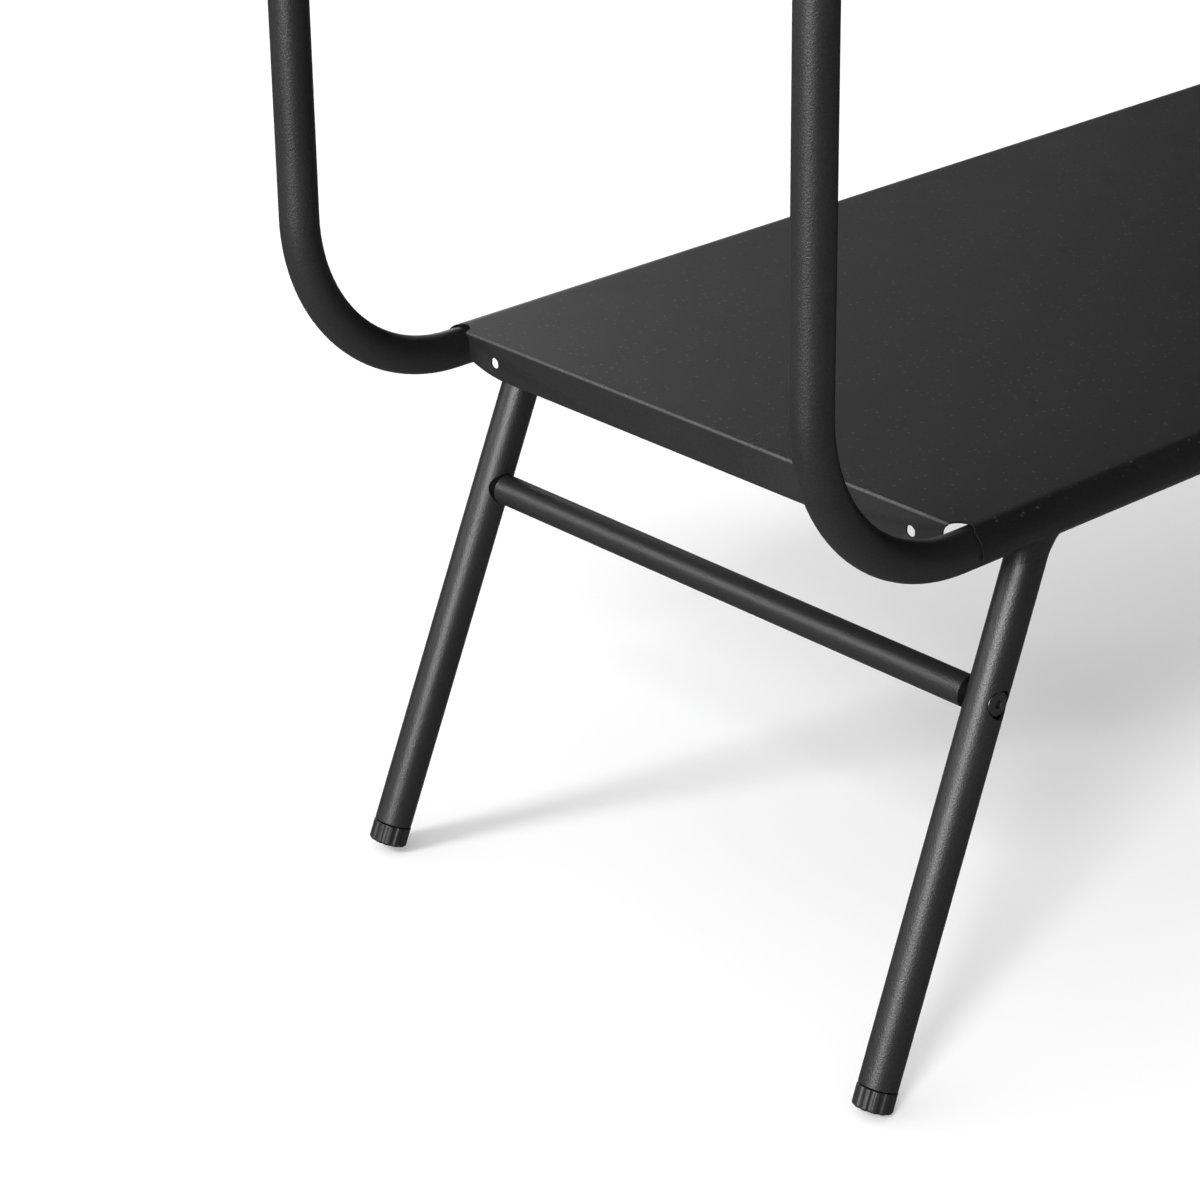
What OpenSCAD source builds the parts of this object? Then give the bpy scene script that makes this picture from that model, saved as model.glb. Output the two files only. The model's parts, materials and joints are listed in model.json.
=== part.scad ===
// Valet stand: two closed tube hoops on splayed legs, a hook-on sheet shelf and a hanging rail.
// The hoops stand in front and at the back, joined by crossbars with sunk connector bolts.
// Origin: middle of the length and depth, on the floor. +X runs along the shelf, -Y is the front.

/* [Frame] */
// Overall length over the uprights
frame_l = 1200; // [1100:10:1400]
// Overall height above the floor
frame_h = 1500; // [1300:10:1700]
// Distance between the centre lines of the front and rear hoops
rail_gap = 443; // [380:1:520]
// Height of the bottom rails' centre line above the floor
rail_h = 343; // [300:1:400]
// Outer diameter of the hoop and leg tubes
tube_d = 25; // [24:0.5:30]
// Wall of all tubes
tube_wall = 1.5; // [1.2:0.1:2]
// Centre-line radius of the hoops' corners
bend_r = 118; // [90:1:119]
// Height where the lower and upper halves of a hoop meet
split_h = 900; // [700:10:1100]

/* [Legs] */
// Distance of the leg's top from the upright's centre line
leg_inset = 189.5; // [170:0.5:220]
// Lean of the legs outwards along the shelf, degrees
leg_splay = 22; // [10:1:24]
// Lean of the legs outwards to the front and back, degrees
leg_tilt = 1.35; // [0:0.05:3]
// Distance of the leg's top inboard of the rail's centre line
leg_offset = 3.5; // [0:0.5:4]

/* [Feet] */
// Diameter of the ribbed foot
foot_d = 25.4; // [24:0.1:28]
// Height of the ribbed foot
foot_h = 13.5; // [10:0.5:20]
// Gap between the foot and the leg's end when the foot is screwed in
foot_gap = 0.8; // [0.4:0.1:2]
// Number of ribs around the foot
foot_ribs = 12; // [8:1:16]

/* [Crossbars] */
// Outer diameter of the crossbars and the hanging rail
bar_d = 20; // [18:0.5:22]
// Distance of the lower crossbars below the bottom rails' centre line
bar_drop = 103; // [80:1:140]
// Thinnest point of the saddle between a bar's end and the tube
saddle_t = 1; // [0.8:0.1:3]

/* [Bolts] */
// Thread diameter of the connector bolts
bolt_d = 6; // [5:1:8]
// Head diameter of the connector bolts
bolt_head_d = 16.6; // [14:0.1:17]
// Head thickness of the connector bolts
bolt_head_h = 2.5; // [2:0.1:3]
// Distance of the bolt's head face from the tube's centre line
bolt_face = 9.8; // [8:0.1:10]

/* [Shelf] */
// Thickness of the shelf's sheet
sheet = 1.2; // [1:0.1:1.5]
// Distance of the shelf's end flange from the upright's centre line
shelf_inset = 120.8; // [120.8:0.1:130]
// Height of the end flange
flange_h = 24.5; // [20:0.5:30]
// How far the long edges wrap around the rails, degrees from the top
curl_wrap = 105; // [92:1:110]
// Diameter of the holes near the ends of the flanges
flange_hole_d = 7; // [5:0.5:8]
// Distance of those holes from the rails' centre line
flange_hole_inset = 38.8; // [34:0.1:60]

/* [Hidden] */
$fn = 96;

left = -1;
right = 1;
front = -1;
rear = 1;
steel = [0.13, 0.13, 0.14];
plastic = [0.06, 0.06, 0.06];
zinc = [0.62, 0.63, 0.65];

tube_r = tube_d / 2;
tube_bore_r = tube_r - tube_wall;
bar_r = bar_d / 2;
bar_bore_r = bar_r - tube_wall;
upright_x = (frame_l - tube_d) / 2;
rail_y = rail_gap / 2;
top_rail_h = frame_h - tube_r;

// legs and feet, measured down the leg from its top point
leg_lean = acos(cos(leg_splay) * cos(leg_tilt));
foot_round = 1.5;
foot_rim_drop = (foot_d / 2 - foot_round) * sin(leg_lean) + foot_round * (1 - cos(leg_lean));
foot_end = (rail_h - foot_rim_drop) / cos(leg_lean);
foot_top = foot_end - foot_h;
leg_end = foot_top - foot_gap;
leg_top = [-upright_x + leg_inset, -rail_y + leg_offset, rail_h];
leg_turn = [-leg_tilt, leg_splay, 0];
leg_cope_drop = 3;
weld_w = 3;
weld_len = 22;
plug_l = 20;
stem_r = 4;
stem_fit = 0.05;
stem_in_foot = 9;
stem_l = 32;
flute_r = 3;
flute_depth = 0.8;

// bolted crossbar joints: one on each leg and one on each top rail
leg_joint = [
    leg_top[0] - bar_drop * tan(leg_splay),
    leg_top[1] - bar_drop * tan(leg_tilt) / cos(leg_splay),
    rail_h - bar_drop
];
top_joint = [leg_top[0], -rail_y, top_rail_h];
top_turn = [0, 90, 0];
bar_start = tube_r + saddle_t;
insert_l = 22;
bolt_r = bolt_d / 2;
bolt_clear_r = bolt_r + 0.3;
bolt_seat = bolt_face - bolt_head_h;
bolt_bevel = 1;
bolt_socket_d = 5.8;
bolt_socket_depth = 1.7;
head_hole_r = bolt_head_d / 2 + 0.5;
sleeve_r = 7;
rail_weld_w = 1.2;

// joint between the hoop halves
spigot_l = 120;
spigot_wall = 2;
spigot_fit = 0.1;
spigot_screw_offset = 30;
spigot_screw_r = 2.5;
spigot_head_r = 4.75;
spigot_head_h = 2.6;

// shelf, measured from the rails' centre line
curl_in = tube_r + 0.3;
curl_out = curl_in + sheet;
shelf_half = upright_x - shelf_inset;
curl_half = shelf_half - 4.5;
fold_out = sheet + 0.8;
flange_end = rail_gap / 2 - 14;
flange_corner_r = 100;
flange_corner_l = 36;
relief_r = 6.5;
notch_r = 9;
eps = 0.01;

// ---- placing ----

// Mirrors the front left corner's shape to any corner
module at_corner(side, face) {
    mirror([side == right ? 1 : 0, 0, 0])
        mirror([0, face == rear ? 1 : 0, 0])
            children();
}

// Lays z = 0 on the top of the front left leg, with +Z up along the leg
module along_leg() {
    translate(leg_top)
        rotate(leg_turn)
            children();
}

// A cylinder along Y, from a to b towards the front of a joint's centre
module across(a, b, r) {
    translate([0, -a, 0])
        rotate([90, 0, 0])
            cylinder(h = b - a, r = r);
}

module tube(length, r, bore_r) {
    difference() {
        cylinder(h = length, r = r);
        translate([0, 0, -1])
            cylinder(h = length + 2, r = bore_r);
    }
}

// ---- hoops ----

// Solid U of radius r: one rail, two bends and two uprights that end at height split
module u_rod(r, z_rail, z_end) {
    up = z_end > z_rail ? 1 : -1;
    straight = abs(z_end - z_rail) - bend_r;
    run = 2 * (upright_x - bend_r);
    translate([-run / 2, 0, z_rail])
        rotate([0, 90, 0])
            cylinder(h = run, r = r);
    for (s = [left, right])
        mirror([s == right ? 1 : 0, 0, 0])
            translate([-upright_x, 0, z_rail])
                mirror([0, 0, up == 1 ? 0 : 1]) {
                    translate([0, 0, bend_r])
                        cylinder(h = straight, r = r);
                    translate([bend_r, 0, bend_r])
                        rotate([90, 0, 0])
                            rotate_extrude(angle = 90, start = 180)
                                translate([bend_r, 0])
                                    circle(r = r);
                }
}

// Cuts the holes for the spigot screws, in the inner side of a hoop's two uprights
module spigot_screw_holes(r, z) {
    for (s = [left, right])
        translate([s * upright_x, 0, z])
            rotate([-90, 0, 0])
                cylinder(h = tube_r + 1, r = r);
}

module lower_hoop(face) {
    color(steel)
        mirror([0, face == rear ? 1 : 0, 0])
            translate([0, -rail_y, 0])
                difference() {
                    u_rod(tube_r, rail_h, split_h);
                    u_rod(tube_bore_r, rail_h, split_h + 1);
                    spigot_screw_holes(spigot_screw_r + 0.25, split_h - spigot_screw_offset);
                }
}

module upper_hoop(face) {
    color(steel)
        mirror([0, face == rear ? 1 : 0, 0])
            difference() {
                translate([0, -rail_y, 0])
                    difference() {
                        u_rod(tube_r, top_rail_h, split_h);
                        u_rod(tube_bore_r, top_rail_h, split_h - 1);
                        spigot_screw_holes(spigot_screw_r + 0.25, split_h + spigot_screw_offset);
                    }
                for (s = [left, right])
                    at_corner(s, front)
                        translate(top_joint)
                            bolt_holes();
            }
}

module hoop_spigots() {
    color(zinc)
        for (s = [left, right], f = [front, rear])
            at_corner(s, f)
                translate([-upright_x, -rail_y, split_h])
                    difference() {
                        translate([0, 0, -spigot_l / 2])
                            tube(spigot_l, tube_bore_r - spigot_fit, tube_bore_r - spigot_fit - spigot_wall);
                        for (z = [-spigot_screw_offset, spigot_screw_offset])
                            translate([0, 0, z])
                                rotate([-90, 0, 0])
                                    cylinder(h = tube_r, r = spigot_screw_r);
                    }
}

module spigot_screws() {
    color(plastic)
        for (s = [left, right], f = [front, rear])
            at_corner(s, f)
                for (z = [-spigot_screw_offset, spigot_screw_offset])
                    translate([-upright_x, -rail_y + tube_r, split_h + z])
                        rotate([-90, 0, 0])
                            difference() {
                                union() {
                                    translate([0, 0, -tube_wall - spigot_wall - 2])
                                        cylinder(h = tube_wall + spigot_wall + 2.5, r = spigot_screw_r);
                                    cylinder(h = 1, r = spigot_head_r);
                                    translate([0, 0, 1])
                                        cylinder(h = spigot_head_h - 1, r1 = spigot_head_r, r2 = spigot_head_r - 1.6);
                                }
                                translate([0, 0, 1])
                                    cylinder(h = spigot_head_h, r = 1.75, $fn = 6);
                            }
}

// ---- bolted crossbar joints, around a joint's centre, front left corner ----

// The wide hole for the bolt's head in the outer wall and the narrow one in the inner wall
module bolt_holes() {
    across(0, tube_r + 1, head_hole_r);
    across(-tube_r - 1, 0, bolt_clear_r);
}

module saddle(turn) {
    difference() {
        across(-bar_start, 0, bar_r);
        rotate(turn)
            cylinder(h = 4 * tube_d, r = tube_r, center = true);
        across(-bar_start - 1, 0, bolt_clear_r);
    }
}

module insert() {
    difference() {
        across(-bar_start - insert_l, -bar_start, bar_bore_r);
        across(-bar_start - insert_l - 1, -bar_start + 1, bolt_r);
    }
}

module sleeve(turn) {
    difference() {
        intersection() {
            across(-tube_r, bolt_seat, sleeve_r);
            rotate(turn)
                cylinder(h = 4 * tube_d, r = tube_bore_r, center = true);
        }
        across(-tube_r - 1, bolt_seat + 1, bolt_clear_r);
    }
}

module connector_bolt() {
    head_r = bolt_head_d / 2;
    difference() {
        rotate([90, 0, 0])
            rotate_extrude()
                polygon([
                    [0, -bar_start - insert_l + 2], [bolt_r, -bar_start - insert_l + 2],
                    [bolt_r, bolt_seat], [head_r, bolt_seat],
                    [head_r, bolt_face - bolt_bevel], [head_r - bolt_bevel, bolt_face],
                    [0, bolt_face]
                ]);
        translate([0, -bolt_face + bolt_socket_depth, 0])
            rotate([90, 0, 0])
                cylinder(h = bolt_socket_depth + 1, r = bolt_socket_d / 2, $fn = 6);
    }
}

module crossbar_saddles() {
    color(plastic)
        for (s = [left, right], f = [front, rear])
            at_corner(s, f) {
                translate(leg_joint) saddle(leg_turn);
                translate(top_joint) saddle(top_turn);
            }
}

module crossbar_inserts() {
    color(zinc)
        for (s = [left, right], f = [front, rear], p = [leg_joint, top_joint])
            at_corner(s, f)
                translate(p)
                    insert();
}

module bolt_sleeves() {
    color(zinc)
        for (s = [left, right], f = [front, rear])
            at_corner(s, f) {
                translate(leg_joint) sleeve(leg_turn);
                translate(top_joint) sleeve(top_turn);
            }
}

module connector_bolts() {
    color(plastic)
        for (s = [left, right], f = [front, rear], p = [leg_joint, top_joint])
            at_corner(s, f)
                translate(p)
                    connector_bolt();
}

// A bar between the front and rear joints at point p
module crossbar(side, p) {
    half = -p[1] - bar_start;
    color(steel)
        mirror([side == right ? 1 : 0, 0, 0])
            translate([p[0], half, p[2]])
                rotate([90, 0, 0])
                    tube(2 * half, bar_r, bar_bore_r);
}

// ---- hanging rail ----

module rail_copes() {
    for (s = [left, right])
        translate([s * top_joint[0], -bar_d, top_rail_h])
            rotate([-90, 0, 0])
                cylinder(h = 2 * bar_d, r = bar_r);
}

module hanging_rail() {
    half = -top_joint[0];
    color(steel)
        difference() {
            translate([-half, 0, top_rail_h])
                rotate([0, 90, 0])
                    tube(2 * half, bar_r, bar_bore_r);
            rail_copes();
        }
}

module rail_weld(side) {
    color(steel)
        mirror([side == right ? 1 : 0, 0, 0])
            difference() {
                translate([top_joint[0] + bar_r / 2, 0, top_rail_h])
                    rotate([0, 90, 0])
                        cylinder(h = bar_r, r1 = bar_r + 2 * rail_weld_w, r2 = bar_r);
                translate([top_joint[0], 0, top_rail_h])
                    rotate([0, 90, 0])
                        cylinder(h = 4 * bar_r, r = bar_r);
                rail_copes();
            }
}

// ---- legs and feet ----

// The bottom rail's outer surface and all that lies above the leg's lip beside it
module leg_top_cutter() {
    translate([leg_top[0] - 60, -rail_y, rail_h])
        rotate([0, 90, 0])
            cylinder(h = 120, r = tube_r);
    translate([leg_top[0] - 60, leg_top[1] - 60, rail_h - leg_cope_drop])
        cube([120, 120, 80]);
}

module leg(side, face) {
    color(steel)
        at_corner(side, face)
            difference() {
                along_leg()
                    translate([0, 0, -leg_end])
                        tube(leg_end + tube_r, tube_r, tube_bore_r);
                leg_top_cutter();
                translate(leg_joint)
                    bolt_holes();
            }
}

module leg_weld(side, face) {
    color(steel)
        at_corner(side, face)
            difference() {
                along_leg()
                    translate([0, 0, -weld_len - tube_r])
                        cylinder(h = weld_len + tube_r, r1 = tube_r, r2 = tube_r + 1.6 * weld_w);
                along_leg()
                    translate([0, 0, -leg_end])
                        cylinder(h = 2 * leg_end, r = tube_r);
                leg_top_cutter();
                translate([leg_top[0] - 60, leg_top[1] - 60, rail_h - leg_cope_drop - 3])
                    cube([120, 120, 80]);
            }
}

module leg_plugs() {
    color(plastic)
        for (s = [left, right], f = [front, rear])
            at_corner(s, f)
                along_leg()
                    translate([0, 0, -leg_end])
                        tube(plug_l, tube_bore_r, stem_r);
}

module stem(side, face) {
    color(zinc)
        at_corner(side, face)
            along_leg()
                translate([0, 0, -foot_top - stem_in_foot])
                    cylinder(h = stem_l, r = stem_r - stem_fit);
}

module foot(side, face) {
    r = foot_d / 2;
    color(plastic)
        at_corner(side, face)
            along_leg()
                translate([0, 0, -foot_end])
                    difference() {
                        rotate_extrude() {
                            translate([0, foot_round])
                                square([r, foot_h - foot_round]);
                            square([r - foot_round, foot_round + eps]);
                            translate([r - foot_round, foot_round])
                                circle(r = foot_round, $fn = 32);
                        }
                        for (i = [0 : foot_ribs - 1])
                            rotate(360 / foot_ribs * i)
                                translate([r + flute_r - flute_depth, 0, -1])
                                    cylinder(h = foot_h + 2, r = flute_r, $fn = 48);
                        translate([0, 0, foot_h - stem_in_foot - 0.5])
                            cylinder(h = foot_h, r = stem_r);
                    }
}

// ---- shelf ----

// Cross-section of one curled long edge, around the front rail's centre
module curl_section() {
    difference() {
        circle(r = curl_out);
        circle(r = curl_in);
        polygon([[0, 0], [0, 99], [99, 99], [99, -99], [-99 / tan(curl_wrap - 90), -99]]);
        polygon([[0, 0], [-99 / tan(curl_wrap - 90), -99], [-99, -99], [-99, -99 * tan(curl_wrap - 90)]]);
    }
}

// Outline of an end flange, Y to the right and Z up, from the rail's height
module flange_outline() {
    low = curl_out - flange_h;
    start = flange_end - flange_corner_l;
    difference() {
        union() {
            translate([-start, low])
                square([2 * start, flange_h - fold_out]);
            for (s = [-1, 1])
                mirror([s == 1 ? 1 : 0, 0]) {
                    intersection() {
                        translate([-start, low + flange_corner_r])
                            circle(r = flange_corner_r, $fn = 360);
                        translate([-flange_end, low])
                            square([flange_corner_l + eps, flange_h - fold_out]);
                    }
                    translate([-flange_end - relief_r + eps, relief_r])
                        square([relief_r + 1, curl_out - fold_out - relief_r]);
                }
        }
        for (s = [-1, 1]) {
            translate([s * (flange_end + relief_r), relief_r])
                circle(r = relief_r);
            translate([s * (rail_y - flange_hole_inset), 0])
                circle(d = flange_hole_d);
        }
    }
}

module end_flange() {
    width = 2 * (flange_end + relief_r) - 2 * eps;
    rotate([90, 0, 90])
        linear_extrude(sheet)
            flange_outline();
    translate([fold_out, width / 2, curl_out - fold_out])
        rotate([90, 0, 0])
            linear_extrude(width)
                intersection() {
                    difference() {
                        circle(r = fold_out);
                        circle(r = fold_out - sheet);
                    }
                    translate([-fold_out, 0])
                        square(fold_out);
                }
}

module shelf() {
    color(steel)
        translate([0, 0, rail_h])
            difference() {
                union() {
                    translate([-shelf_half + fold_out, -rail_y, curl_in])
                        cube([2 * (shelf_half - fold_out), rail_gap, sheet]);
                    for (f = [front, rear])
                        mirror([0, f == rear ? 1 : 0, 0])
                            translate([-curl_half, -rail_y, 0])
                                rotate([90, 0, 90])
                                    linear_extrude(2 * curl_half)
                                        curl_section();
                    for (s = [left, right])
                        mirror([s == right ? 1 : 0, 0, 0])
                            translate([-shelf_half, 0, 0])
                                end_flange();
                }
                for (s = [left, right], f = [front, rear])
                    at_corner(s, f)
                        translate([-shelf_half, -rail_y + 1.5, curl_in - 5])
                            cylinder(h = 10, r = notch_r);
            }
}

lower_hoop(front);  // front_lower_hoop
lower_hoop(rear);  // rear_lower_hoop
upper_hoop(front);  // front_upper_hoop
upper_hoop(rear);  // rear_upper_hoop
leg(left, front);  // front_left_leg
leg(right, front);  // front_right_leg
leg(left, rear);  // rear_left_leg
leg(right, rear);  // rear_right_leg
leg_weld(left, front);  // front_left_leg_weld
leg_weld(right, front);  // front_right_leg_weld
leg_weld(left, rear);  // rear_left_leg_weld
leg_weld(right, rear);  // rear_right_leg_weld
crossbar(left, leg_joint);  // lower_left_crossbar
crossbar(right, leg_joint);  // lower_right_crossbar
crossbar(left, top_joint);  // top_left_crossbar
crossbar(right, top_joint);  // top_right_crossbar
hanging_rail();
rail_weld(left);  // left_rail_weld
rail_weld(right);  // right_rail_weld
crossbar_saddles();
crossbar_inserts();
bolt_sleeves();
connector_bolts();
hoop_spigots();
spigot_screws();
shelf();
leg_plugs();
stem(left, front);  // front_left_stem
stem(right, front);  // front_right_stem
stem(left, rear);  // rear_left_stem
stem(right, rear);  // rear_right_stem
foot(left, front);  // front_left_foot
foot(right, front);  // front_right_foot
foot(left, rear);  // rear_left_foot
foot(right, rear);  // rear_right_foot
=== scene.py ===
import json
import math

import bmesh
import bpy
from mathutils import Euler, Matrix, Vector
from mathutils.geometry import delaunay_2d_cdt


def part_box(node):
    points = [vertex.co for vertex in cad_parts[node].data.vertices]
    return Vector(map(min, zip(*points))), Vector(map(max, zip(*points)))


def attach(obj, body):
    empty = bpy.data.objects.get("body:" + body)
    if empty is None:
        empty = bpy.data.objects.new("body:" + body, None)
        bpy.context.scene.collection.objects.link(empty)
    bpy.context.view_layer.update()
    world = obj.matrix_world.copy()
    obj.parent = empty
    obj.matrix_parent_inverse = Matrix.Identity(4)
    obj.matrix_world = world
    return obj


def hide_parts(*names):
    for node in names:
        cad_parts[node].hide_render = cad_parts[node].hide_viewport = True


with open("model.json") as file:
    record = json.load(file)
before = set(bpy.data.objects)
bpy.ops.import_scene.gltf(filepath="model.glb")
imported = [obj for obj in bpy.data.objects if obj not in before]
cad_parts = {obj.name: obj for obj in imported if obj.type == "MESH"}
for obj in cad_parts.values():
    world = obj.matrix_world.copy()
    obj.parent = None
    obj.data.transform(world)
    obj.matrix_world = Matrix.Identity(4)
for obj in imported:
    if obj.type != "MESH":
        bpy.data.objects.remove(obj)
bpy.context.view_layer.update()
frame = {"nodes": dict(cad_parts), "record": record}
nodes = frame["nodes"]
joints = {j["name"]: j for j in frame["record"]["behaviour"]["joints"]}
MM = 0.001

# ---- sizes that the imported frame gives, in metres ----

hoop_low, hoop_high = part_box("front_lower_hoop")
TUBE_R = (hoop_high.y - hoop_low.y) / 2
RAIL_Y = -(hoop_high.y + hoop_low.y) / 2
RAIL_Z = hoop_low.z + TUBE_R
UPRIGHT_X = hoop_high.x - TUBE_R
SPLIT_Z = hoop_high.z
TOP_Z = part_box("front_upper_hoop")[1].z - TUBE_R
bar_low, bar_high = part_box("lower_left_crossbar")
BAR_R = (bar_high.x - bar_low.x) / 2
LEG_BAR_END = bar_high.y
LEG_BAR_X = -(bar_low.x + bar_high.x) / 2
LEG_BAR_Z = (bar_low.z + bar_high.z) / 2
top_low, top_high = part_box("top_left_crossbar")
TOP_BAR_END = top_high.y
TOP_BAR_X = -(top_low.x + top_high.x) / 2
shelf_low, shelf_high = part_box("shelf")
SHELF_HALF = shelf_high.x
SHELF_TOP = shelf_high.z
FLANGE_LOW = shelf_low.z

# ---- sizes that the boxes don't show, the same as the CAD model's ----

WALL = 1.5 * MM
BEND_R = 118 * MM
LIP = 0.35 * MM
HOLE_EDGE = 0.5 * MM
COPE_DROP = 3 * MM
SADDLE_T = 1 * MM
HEAD_HOLE_R = 8.8 * MM
HEAD_R = 8.3 * MM
HEAD_FACE = 9.8 * MM
HEAD_H = 2.5 * MM
HEAD_EDGE = 1.2 * MM
SOCKET_R = 2.9 * MM
SOCKET_DEPTH = 1.7 * MM
BOLT_R = 3 * MM
INSERT_L = 22 * MM
FOOT_R = 12.7 * MM
FOOT_H = 13.5 * MM
FOOT_GAP = 0.8 * MM
FOOT_ROUND = 1.5 * MM
RIBS = 12
FLUTE_R = 3 * MM
FLUTE_DEPTH = 0.8 * MM
STEM_R = 3.95 * MM
STEM_IN_FOOT = 9 * MM
STEM_L = 32 * MM
THREAD_PITCH = 1.25 * MM
THREAD_DEPTH = 0.6 * MM
SCREW_OFFSET = 30 * MM
SHEET = 1.2 * MM
CURL_R = TUBE_R + 1.5 * MM
CURL_WRAP = math.radians(105)
CURL_HALF = SHELF_HALF - 4.5 * MM
FOLD_R = 2 * MM
FLANGE_END = 207.5 * MM
FLANGE_CORNER_R = 100 * MM
FLANGE_CORNER_L = 36 * MM
RELIEF_R = 6.5 * MM
NOTCH_R = 9 * MM
NOTCH_Y = 220 * MM
FLANGE_HOLE_R = 3.5 * MM
FLANGE_HOLE_Y = 182.7 * MM

SIDES = (-1, 1)
CORNERS = {
    "front_left": (-1, -1),
    "front_right": (1, -1),
    "rear_left": (-1, 1),
    "rear_right": (1, 1),
}
REAR_CORNERS = ("rear_left", "rear_right")
X = Vector((1, 0, 0))
Y = Vector((0, 1, 0))
Z = Vector((0, 0, 1))
ROUND = 64  # sides of a round tube

# ---- camera ----

CAMERA_AT = Vector((-1.9084, -1.5273, 1.2173))
CAMERA_TURN = (65.01, 0.714, -42.139)  # degrees about X, Y and Z: tilt, roll and heading
CAMERA_LENS = 112.55  # millimetres, on a sensor 36 mm wide


def make_camera():
    data = bpy.data.cameras.new("camera")
    data.lens = CAMERA_LENS
    data.sensor_width = 36
    camera = bpy.data.objects.new("camera", data)
    bpy.context.scene.collection.objects.link(camera)
    turn = Euler([math.radians(a) for a in CAMERA_TURN]).to_matrix()
    camera.matrix_world = Matrix.Translation(CAMERA_AT) @ turn.to_4x4()
    bpy.context.scene.camera = camera


# ---- light and floor ----

BRIGHT_SIDE = (-0.87, 0.48, 0.12)  # direction of the bright side of the room
SKY = (0.11, 1.0)  # strength above the horizon, on the dark and on the bright side
GROUND = (0.8, 1.85)  # the same, below the horizon


def make_world():
    """Soft light for diffuse surfaces only: brighter from the left and from above"""
    world = bpy.data.worlds.new("studio")
    bpy.context.scene.world = world
    world.use_nodes = True
    tree = world.node_tree.nodes
    links = world.node_tree.links
    place = tree.new("ShaderNodeTexCoord")
    facing = tree.new("ShaderNodeVectorMath")
    facing.operation = "DOT_PRODUCT"
    facing.inputs[1].default_value = BRIGHT_SIDE
    links.new(place.outputs["Generated"], facing.inputs[0])
    height = tree.new("ShaderNodeSeparateXYZ")
    links.new(place.outputs["Generated"], height.inputs["Vector"])
    sky = remap(tree, links, facing.outputs["Value"], -1.0, 1.0, *SKY)
    ground = remap(tree, links, facing.outputs["Value"], -1.0, 1.0, *GROUND)
    blend = tree.new("ShaderNodeMix")
    links.new(remap(tree, links, height.outputs["Z"], -0.08, 0.08, 0.0, 1.0), blend.inputs["Factor"])
    links.new(ground, blend.inputs["A"])
    links.new(sky, blend.inputs["B"])
    seen = tree.new("ShaderNodeLightPath")
    level = tree.new("ShaderNodeMix")
    links.new(seen.outputs["Is Camera Ray"], level.inputs["Factor"])
    links.new(blend.outputs["Result"], level.inputs["A"])
    level.inputs["B"].default_value = 1.0
    links.new(level.outputs["Result"], tree["Background"].inputs["Strength"])
    tree["Background"].inputs["Color"].default_value = (1, 1, 1, 1)
    world.cycles_visibility.glossy = False


def make_softbox(name, place, aim, width, height, power):
    """Rectangular light for gloss only, which the camera doesn't see"""
    data = bpy.data.lights.new(name, "AREA")
    data.shape = "RECTANGLE"
    data.size = width
    data.size_y = height
    data.energy = power
    light = bpy.data.objects.new(name, data)
    bpy.context.scene.collection.objects.link(light)
    light.location = place
    light.rotation_mode = "QUATERNION"
    direction = Vector(aim) - Vector(place)
    light.rotation_quaternion = direction.to_track_quat("-Z", "Y")
    light.visible_diffuse = False
    light.visible_camera = False
    return light


def make_sun(name, toward, strength, softness):
    """Soft directional light for diffuse surfaces only"""
    data = bpy.data.lights.new(name, "SUN")
    data.energy = strength
    data.angle = math.radians(softness)
    light = bpy.data.objects.new(name, data)
    bpy.context.scene.collection.objects.link(light)
    light.visible_glossy = False
    light.rotation_mode = "QUATERNION"
    light.rotation_quaternion = Vector(toward).to_track_quat("-Z", "Y")
    return light


def group(name, objects):
    collection = bpy.data.collections.new(name)
    for obj in objects:
        collection.objects.link(obj)
    return collection


def light_shelf(key, rim, flange_light):
    """Keeps the black sheet black in low views, where it would mirror the key and the rim light

    A low box stands in for them on the end flange. It is below the sheet, so it can't light the top.
    """
    shelf = pieces["shelf_sheet"]
    others = [obj for obj in bpy.data.objects if obj.type == "MESH" and obj != shelf]
    key.light_linking.receiver_collection = group("key_lights", others)
    rim.light_linking.receiver_collection = group("rim_lights", others)
    flange_light.light_linking.receiver_collection = group("flange_lights", [shelf])


def share_suns(floor):
    """Each end of the stand gets its own floor shadow, and a third sun lights the stand itself"""
    stand = [obj for obj in bpy.data.objects if obj.type == "MESH" and obj != floor]
    rear_legs = [obj for name, obj in pieces.items() if name.startswith(REAR_CORNERS)]
    others = [obj for obj in pieces.values() if obj not in rear_legs]
    rear_sun = make_sun("rear_sun", (0.934, -0.358, -0.8), 1.65, 16)
    front_sun = make_sun("front_sun", (0.869, 0.495, -0.8), 1.5, 14)
    side_sun = make_sun("side_sun", (0.94, 0.05, -0.52), 2.2, 20)
    rear_sun.light_linking.receiver_collection = group("rear_sun_lights", [floor])
    rear_sun.light_linking.blocker_collection = group("rear_sun_casters", rear_legs)
    front_sun.light_linking.receiver_collection = group("front_sun_lights", [floor])
    front_sun.light_linking.blocker_collection = group("front_sun_casters", others)
    side_sun.light_linking.receiver_collection = group("side_sun_lights", stand)


def make_floor():
    """Pale plane that takes the shadows. Bounced and reflected rays don't see it."""
    half = 12
    corners = [(-half, -half, 0), (half, -half, 0), (half, half, 0), (-half, half, 0)]
    mesh = bpy.data.meshes.new("floor")
    mesh.from_pydata(corners, [], [(0, 1, 2, 3)])
    floor = bpy.data.objects.new("floor", mesh)
    bpy.context.scene.collection.objects.link(floor)
    material, tree, links, shader = new_material("floor_white")
    shader.inputs["Base Color"].default_value = (0.92, 0.92, 0.92, 1)
    shader.inputs["Roughness"].default_value = 1.0
    shader.inputs["Specular IOR Level"].default_value = 0.0
    mesh.materials.append(material)
    floor.visible_diffuse = False
    floor.visible_glossy = False
    return floor


# ---- materials ----


def new_material(name):
    material = bpy.data.materials.new(name)
    material.use_nodes = True
    tree = material.node_tree.nodes
    return material, tree, material.node_tree.links, tree["Principled BSDF"]


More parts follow.
